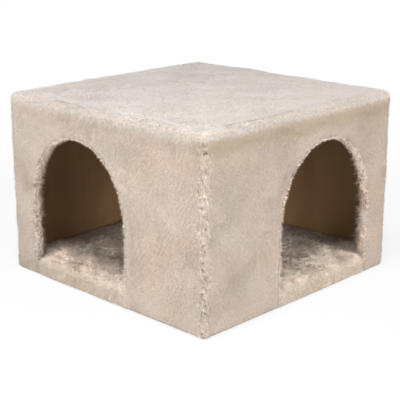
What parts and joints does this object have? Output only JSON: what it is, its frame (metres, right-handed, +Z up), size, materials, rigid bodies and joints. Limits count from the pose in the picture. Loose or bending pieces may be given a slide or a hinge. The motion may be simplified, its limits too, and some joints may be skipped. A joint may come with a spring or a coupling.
{
  "type": "cat cave bed",
  "caption": "Low square cat cave covered in plush, with arched doorways in neighbouring sides, bare board walls inside and a padded plush floor.",
  "frame": {"origin": "centre of the underside, on the ground the cave stands on", "axes": "+Z up; the side along -Y and the side along +X hold the doorways, each away from the corner that these two sides share"},
  "size_m": [0.44, 0.44, 0.3],
  "materials": {
    "plush": "matte",
    "board": "satin",
    "foam": "matte",
    "steel": "satin"
  },
  "bodies": {
    "root": {"base_board": "board", "top_board": "board", "front_wall": "board", "right_wall": "board", "back_wall": "board", "left_wall": "board", "floor_pad": "foam", "plush_cover": "plush", "cover_hem_rear": "plush", "cover_hem_front": "plush", "floor_plush": "plush", "front_door_edging": "plush", "right_door_edging": "plush", "top_nail_front_1": "steel", "top_nail_front_2": "steel", "top_nail_back_1": "steel", "top_nail_back_2": "steel", "top_nail_left_1": "steel", "top_nail_left_2": "steel", "top_nail_right_1": "steel", "top_nail_right_2": "steel", "base_nail_front_1": "steel", "base_nail_front_2": "steel", "base_nail_back_1": "steel", "base_nail_back_2": "steel", "base_nail_left_1": "steel", "base_nail_left_2": "steel", "base_nail_right_1": "steel", "base_nail_right_2": "steel", "corner_nail_front_left_1": "steel", "corner_nail_front_left_2": "steel", "corner_nail_front_right_1": "steel", "corner_nail_front_right_2": "steel", "corner_nail_back_left_1": "steel", "corner_nail_back_left_2": "steel", "corner_nail_back_right_1": "steel", "corner_nail_back_right_2": "steel", "hem_staple_rear_1": "steel", "hem_staple_rear_2": "steel", "hem_staple_rear_3": "steel", "hem_staple_rear_4": "steel", "hem_staple_rear_5": "steel", "hem_staple_rear_6": "steel", "hem_staple_front_1": "steel", "hem_staple_front_2": "steel", "sill_staple_1": "steel", "sill_staple_2": "steel", "sill_staple_3": "steel", "sill_staple_4": "steel", "door_staple_front_1": "steel", "door_staple_front_2": "steel", "door_staple_front_3": "steel", "door_staple_front_4": "steel", "door_staple_front_5": "steel", "door_staple_right_1": "steel", "door_staple_right_2": "steel", "door_staple_right_3": "steel", "door_staple_right_4": "steel", "door_staple_right_5": "steel"}
  },
  "joints": []
}
